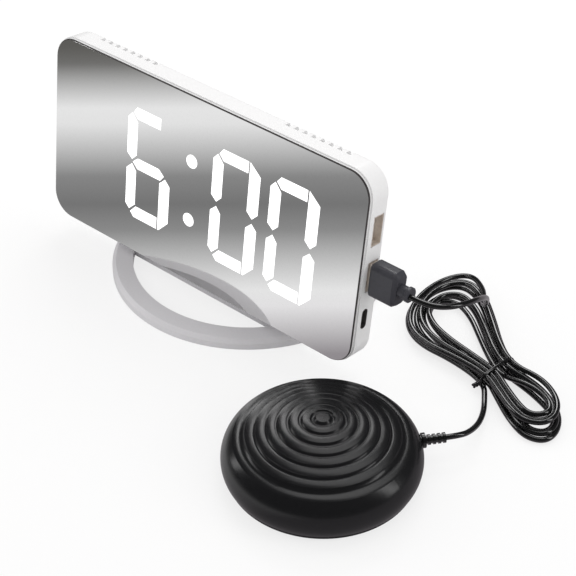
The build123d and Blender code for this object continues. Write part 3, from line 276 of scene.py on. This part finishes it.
# Cord: one spline from the plug's collar, round the hank, to the pad
plug_stretch = (
    (106.0, -5.5, 49.4), (114.0, -5.5, 49.4), (120.5, -1.0, 49.0), (123.5, 7.5, 47.5), (123.0, 17.0, 44.0),
    (120.0, 26.0, 38.0), (115.5, 34.5, 29.5), (110.0, 42.0, 19.5), (103.0, 51.0, 11.5), (97.0, 61.0, 9.5),
)
pad_stretch = (
    (133.5, 11.0, 1.8), (137.6, 4.5, 2.2), (140.6, -3.0, 3.2), (142.2, -10.5, 5.6),
    (142.7, -17.6, 8.5), (138.7, -22.7, 8.5),
)
# The control points of a loop, along and across the hank: the outermost and the innermost of each layer
upper_outer = (
    (2.5, 8.2), (-13.0, 11.3), (-30.0, 18.6), (-46.0, 24.3), (-59.5, 23.5), (-61.5, 9.0),
    (-54.0, -9.0), (-42.0, -20.5), (-28.0, -22.6), (-11.0, -13.6), (4.0, -8.4), (14.0, -9.2),
    (24.0, -10.6), (34.0, -9.8), (40.0, -3.0), (38.0, 5.0), (29.0, 12.4), (15.0, 14.6),
)
upper_inner = (
    (2.5, -0.2), (-9.0, 1.6), (-21.0, 4.6), (-33.0, 7.4), (-43.5, 7.4), (-47.5, 0.6),
    (-42.5, -6.6), (-33.0, -7.4), (-22.0, -5.8), (-8.0, -3.4), (4.0, -1.6), (15.0, -3.4),
    (27.5, -4.3), (31.4, -2.7), (33.1, 1.3), (31.4, 5.2), (26.0, 6.6), (16.0, 4.8),
)
lower_outer = (
    (2.5, 8.2), (-15.0, 12.5), (-33.0, 19.5), (-49.5, 24.5), (-61.0, 22.0), (-62.5, 8.0),
    (-56.0, -7.5), (-45.0, -18.0), (-30.5, -20.3), (-13.5, -12.0), (4.0, -8.2), (11.5, -9.4),
    (24.7, -11.8), (38.5, -11.6), (45.0, -4.5), (40.0, 5.0), (29.0, 11.6), (15.0, 13.4),
)
lower_inner = (
    (2.5, -0.2), (-10.0, 1.6), (-22.0, 4.6), (-34.0, 7.6), (-45.0, 7.6), (-49.5, 1.0),
    (-45.0, -6.0), (-36.0, -7.6), (-24.0, -6.6), (-8.0, -3.6), (4.0, -1.0), (18.0, -3.4),
    (31.0, -5.2), (34.9, -3.6), (36.6, 0.3), (34.9, 4.2), (31.0, 5.9), (17.0, 4.2),
)


def hank_point(s, t, z):
    angle = math.radians(hank_bearing)
    x = hank_place[0] + s * math.cos(angle) - t * math.sin(angle)
    y = hank_place[1] + s * math.sin(angle) + t * math.cos(angle)
    return (x, y, z)


def hank_points():
    """Almost three loops wind in on the upper layer, then three and a half wind out below them."""
    count = len(upper_outer)
    points = []
    for j in range(hank_first, hank_last + 1):
        upper = j < hank_turn
        i = j % count
        if upper:
            outer, inner, share = upper_outer[i], upper_inner[i], j / hank_turn
        else:
            outer, inner, share = lower_outer[i], lower_inner[i], (hank_last - j) / (hank_last - hank_turn)
        s = outer[0] + (inner[0] - outer[0]) * share
        t = outer[1] + (inner[1] - outer[1]) * share
        z = low_height + (layer_height if upper else 0)
        z += waist_lift if i in waist_points else loop_stagger * (1 - math.cos(math.pi * j / count))
        points.append(hank_point(s, t, z))
    return points


def spline_through(name, points, diameter, cyclic=False):
    """A tube along a spline. Its points carry the radius, because Blender counts that in the tube's box."""
    curve = bpy.data.curves.new(name, "CURVE")
    curve.dimensions = "3D"
    spline = curve.splines.new("NURBS")
    spline.points.add(len(points) - 1)
    for place, point in zip(points, spline.points):
        point.co = (place[0] * mm, place[1] * mm, place[2] * mm, 1.0)
        point.radius = diameter / 2 * mm
    spline.order_u = spline_order
    spline.use_endpoint_u = not cyclic
    spline.use_cyclic_u = cyclic
    spline.resolution_u = spline_steps
    curve.bevel_depth = 1.0
    curve.bevel_resolution = bevel_steps
    curve.use_fill_caps = not cyclic
    piece = bpy.data.objects.new(name, curve)
    scene.collection.objects.link(piece)
    return piece


cord = spline_through("lead_cord", list(plug_stretch) + hank_points() + list(pad_stretch), cord_diameter)
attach(cord, "shaker")
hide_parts("cord_hank", "pad_lead", "plug_lead")


# Tie: a thin round band at the waist with a short twisted end
def squared(value):
    """A sine or cosine, drawn out so that its loop comes nearer to a rectangle."""
    return math.copysign(abs(value) ** tie_squareness, value)


def make_tie():
    points = []
    for i in range(tie_points):
        angle = 2 * math.pi * i / tie_points
        t = tie_middle[1] + tie_half[1] * squared(math.cos(angle))
        z = tie_middle[2] + tie_half[2] * squared(math.sin(angle))
        s = tie_middle[0] - tie_slant * (t - tie_middle[1])
        points.append(hank_point(s, t, z))
    band = spline_through("tie_band", points, 2 * tie_radius, cyclic=True)
    twists = []
    for strand in (0, 1):
        ends = []
        for i in range(tie_twist_points):
            share = i / (tie_twist_points - 1)
            angle = math.pi * strand + share * tie_twist_turns * 2 * math.pi
            t = tie_middle[1] - tie_half[1] - tie_twist_length * share
            s = tie_middle[0] - tie_slant * (t - tie_middle[1]) + tie_radius * math.cos(angle)
            z = tie_middle[2] - tie_twist_drop * share + tie_radius * math.sin(angle)
            ends.append(hank_point(s - tie_twist_lean * share, t, z))
        twists.append(spline_through("tie_end_" + str(strand + 1), ends, tie_strand_thickness * tie_radius))
    for piece in [band] + twists:
        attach(piece, "shaker")
    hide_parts("cable_tie")
    return [band] + twists


tie_pieces = make_tie()


# Lit digits on the mirror's front
segment_shares = {
    "a": ((0.20, 1.00), (0.74, 1.00), (0.74, 0.90), (0.22, 0.90), (0.12, 0.95)),
    "b": ((0.77, 1.00), (1.00, 0.91), (1.00, 0.58), (0.89, 0.525), (0.77, 0.575)),
    "c": ((0.89, 0.485), (1.00, 0.435), (1.00, 0.10), (0.80, 0.00), (0.77, 0.00), (0.77, 0.43)),
    "d": ((0.24, 0.105), (0.74, 0.105), (0.74, 0.00), (0.20, 0.00), (0.12, 0.04)),
    "e": ((0.12, 0.485), (0.22, 0.43), (0.22, 0.12), (0.09, 0.06), (0.00, 0.10), (0.00, 0.43)),
    "f": ((0.09, 0.94), (0.22, 0.87), (0.22, 0.575), (0.12, 0.525), (0.00, 0.57), (0.00, 0.89)),
    "g": ((0.25, 0.552), (0.74, 0.552), (0.86, 0.505), (0.78, 0.455), (0.25, 0.455), (0.14, 0.505)),
}
lit_segments = ("acdefg", "abcdef", "abcdef")


def lit_piece(name, outlines):
    """A thin closed plate for each outline, just proud of the mirror."""
    points = []
    faces = []
    for outline in outlines:
        start = len(points)
        count = len(outline)
        points += [clock_place(x, 0, rise) for x, rise in outline]
        points += [clock_place(x, -lit_thickness, rise) for x, rise in outline]
        faces.append([start + i for i in range(count)])
        faces.append([start + count + i for i in reversed(range(count))])
        for i in range(count):
            after = (i + 1) % count
            faces.append([start + after, start + i, start + count + i, start + count + after])
    mesh = bpy.data.meshes.new(name)
    mesh.from_pydata(points, [], faces)
    piece = bpy.data.objects.new(name, mesh)
    scene.collection.objects.link(piece)
    mesh.materials.append(lit_material)
    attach(piece, "clock")
    return piece


def glow(name, colour, strength):
    material = bpy.data.materials.new(name)
    material.use_nodes = True
    shader = material.node_tree.nodes["Principled BSDF"]
    shader.inputs["Base Color"].default_value = (*colour, 1.0)
    shader.inputs["Roughness"].default_value = lit_roughness
    shader.inputs["Emission Color"].default_value = (*colour, 1.0)
    shader.inputs["Emission Strength"].default_value = strength
    return material


lit_material = glow("lit_digit", (1.0, 1.0, 1.0), 0.9)
for centre, letters, label in zip(digit_centres, lit_segments, ("hours", "tens", "units")):
    left = centre - digit_width / 2
    lit_piece("lit_" + label, [
        [(left + u * digit_width, display_low + v * digit_height) for u, v in segment_shares[letter]]
        for letter in letters])
lit_piece("lit_colon", [
    [(colon_x + dot_radius * math.cos(2 * math.pi * i / dot_sides),
      rise + dot_radius * math.sin(2 * math.pi * i / dot_sides)) for i in range(dot_sides)]
    for rise in colon_rises])


# Materials
def surface(name, colour, roughness, *, metal=0.0, grain=900.0, mottle=0.04, rough_spread=0.06, bump=0.02,
            bump_scale=2500.0, coat=0.0):
    """A surface whose colour, gloss and fine relief vary as the real one's do."""
    material = bpy.data.materials.new(name)
    material.use_nodes = True
    tree = material.node_tree
    shader = tree.nodes["Principled BSDF"]
    shader.inputs["Metallic"].default_value = metal
    shader.inputs["Coat Weight"].default_value = coat
    shader.inputs["Coat Roughness"].default_value = coat_roughness
    place = tree.nodes.new("ShaderNodeTexCoord")
    broad = tree.nodes.new("ShaderNodeTexNoise")
    broad.inputs["Scale"].default_value = grain
    broad.inputs["Detail"].default_value = broad_detail
    tree.links.new(place.outputs["Object"], broad.inputs["Vector"])
    tone = tree.nodes.new("ShaderNodeValToRGB")
    tone.color_ramp.elements[0].position = tone_from
    tone.color_ramp.elements[1].position = tone_to
    tone.color_ramp.elements[0].color = (*[value * (1.0 - mottle) for value in colour], 1.0)
    tone.color_ramp.elements[1].color = (*[min(1.0, value * (1.0 + mottle)) for value in colour], 1.0)
    tree.links.new(broad.outputs["Fac"], tone.inputs["Fac"])
    tree.links.new(tone.outputs["Color"], shader.inputs["Base Color"])
    fine = tree.nodes.new("ShaderNodeTexNoise")
    fine.inputs["Scale"].default_value = bump_scale
    fine.inputs["Detail"].default_value = fine_detail
    tree.links.new(place.outputs["Object"], fine.inputs["Vector"])
    gloss = tree.nodes.new("ShaderNodeMapRange")
    gloss.inputs["To Min"].default_value = max(0.0, roughness - rough_spread)
    gloss.inputs["To Max"].default_value = min(1.0, roughness + rough_spread)
    tree.links.new(broad.outputs["Fac"], gloss.inputs["Value"])
    tree.links.new(gloss.outputs["Result"], shader.inputs["Roughness"])
    relief = tree.nodes.new("ShaderNodeBump")
    relief.inputs["Strength"].default_value = relief_strength
    relief.inputs["Distance"].default_value = bump * mm
    tree.links.new(fine.outputs["Fac"], relief.inputs["Height"])
    tree.links.new(relief.outputs["Normal"], shader.inputs["Normal"])
    return material


def mirror_surface():
    """Polished in front, dark round its front edge and milky on the rest of its edge."""
    material = surface("mirror", (0.93, 0.93, 0.93), 0.05, metal=1.0, mottle=0.01, rough_spread=0.02,
                       bump=0.0005, bump_scale=60.0)
    tree = material.node_tree
    shader = tree.nodes["Principled BSDF"]
    end = tree.nodes["Material Output"]
    place = tree.nodes.new("ShaderNodeTexCoord")
    angle = math.radians(lean)
    inward = (0.0, math.cos(angle), -math.sin(angle))
    depth = tree.nodes.new("ShaderNodeVectorMath")
    depth.operation = "DOT_PRODUCT"
    depth.inputs[1].default_value = inward
    tree.links.new(place.outputs["Object"], depth.inputs[0])
    front = clock_place(0, 0, 0).dot(Vector(inward))
    past_rim = tree.nodes.new("ShaderNodeMath")
    past_rim.operation = "GREATER_THAN"
    past_rim.inputs[1].default_value = front + rim_depth * mm
    tree.links.new(depth.outputs["Value"], past_rim.inputs[0])
    behind = tree.nodes.new("ShaderNodeMath")
    behind.operation = "GREATER_THAN"
    behind.inputs[1].default_value = front + face_depth * mm
    tree.links.new(depth.outputs["Value"], behind.inputs[0])
    dark = tree.nodes.new("ShaderNodeBsdfPrincipled")
    dark.inputs["Base Color"].default_value = (*edge_dark, 1.0)
    dark.inputs["Roughness"].default_value = edge_roughness
    milky = tree.nodes.new("ShaderNodeBsdfPrincipled")
    milky.inputs["Base Color"].default_value = (*edge_milky, 1.0)
    milky.inputs["Roughness"].default_value = edge_roughness
    edge = tree.nodes.new("ShaderNodeMixShader")
    tree.links.new(past_rim.outputs["Value"], edge.inputs["Fac"])
    tree.links.new(dark.outputs["BSDF"], edge.inputs[1])
    tree.links.new(milky.outputs["BSDF"], edge.inputs[2])
    whole = tree.nodes.new("ShaderNodeMixShader")
    tree.links.new(behind.outputs["Value"], whole.inputs["Fac"])
    tree.links.new(shader.outputs["BSDF"], whole.inputs[1])
    tree.links.new(edge.outputs["Shader"], whole.inputs[2])
    tree.links.new(whole.outputs["Shader"], end.inputs["Surface"])
    return material


white_case = surface("white_case", (0.87, 0.87, 0.87), 0.34, mottle=0.012, bump=0.008, coat=0.15)
surfaces = {
    "mirror": mirror_surface(),
    "white_case": white_case,
    "stand_white": surface("stand_white", (0.70, 0.69, 0.71), 0.42, mottle=0.015, bump=0.01),
    "white_inner": surface("white_inner", (0.82, 0.82, 0.80), 0.55, mottle=0.03),
    "light_guide": surface("light_guide", (0.90, 0.90, 0.90), 0.35, mottle=0.02),
    "board_green": surface("board_green", (0.05, 0.20, 0.10), 0.40, mottle=0.18, grain=300.0),
    "led_white": surface("led_white", (0.90, 0.90, 0.78), 0.30, mottle=0.05),
    "screw_steel": surface("screw_steel", (0.56, 0.56, 0.55), 0.34, metal=1.0, mottle=0.08),
    "socket_shell": surface("socket_shell", (0.86, 0.78, 0.70), 0.45, metal=0.6, mottle=0.06),
    "socket_tongue": surface("socket_tongue", (0.95, 0.94, 0.92), 0.45, mottle=0.02),
    "buzzer_black": surface("buzzer_black", (0.03, 0.03, 0.03), 0.55, mottle=0.15),
    "cell_steel": surface("cell_steel", (0.66, 0.66, 0.65), 0.26, metal=1.0, mottle=0.05),
    "switch_black": surface("switch_black", (0.04, 0.04, 0.04), 0.50, mottle=0.15),
    "key_grey": surface("key_grey", (0.42, 0.42, 0.43), 0.42, mottle=0.04),
    "pad_black": surface("pad_black", (0.0085, 0.0085, 0.0095), 0.24, mottle=0.05, grain=500.0,
                         rough_spread=0.03, bump=0.001, bump_scale=3200.0),
    "motor_steel": surface("motor_steel", (0.52, 0.52, 0.51), 0.32, metal=1.0, mottle=0.07),
    "motor_cap": surface("motor_cap", (0.84, 0.84, 0.80), 0.50, mottle=0.03),
    "shaft_steel": surface("shaft_steel", (0.66, 0.66, 0.66), 0.22, metal=1.0, mottle=0.04),
    "weight_metal": surface("weight_metal", (0.28, 0.28, 0.29), 0.48, metal=1.0, mottle=0.14),
    "cord_black": surface("cord_black", (0.006, 0.006, 0.0065), 0.16, mottle=0.12, grain=700.0,
                          rough_spread=0.02, bump=0.003, bump_scale=1800.0, coat=1.0),
    "plug_charcoal": surface("plug_charcoal", (0.050, 0.050, 0.060), 0.38, mottle=0.08, bump=0.006),
    "wire_red": surface("wire_red", (0.42, 0.02, 0.02), 0.35, mottle=0.08),
}
for entry in frame["record"]["subparts"]:
    piece = nodes[entry["node"]]
    piece.data.materials.clear()
    piece.data.materials.append(surfaces[entry["material_slot"]])
for piece in [cord] + tie_pieces:
    piece.data.materials.append(surfaces["cord_black"])
# Painted shade: the power socket's shell is coloured near-black, unlike the other sockets, to stand for the
# shade inside its slot
nodes["power_socket"].data.materials[0] = surface("power_slot_painted_shade", (0.06, 0.055, 0.055), 0.45, metal=0.3)
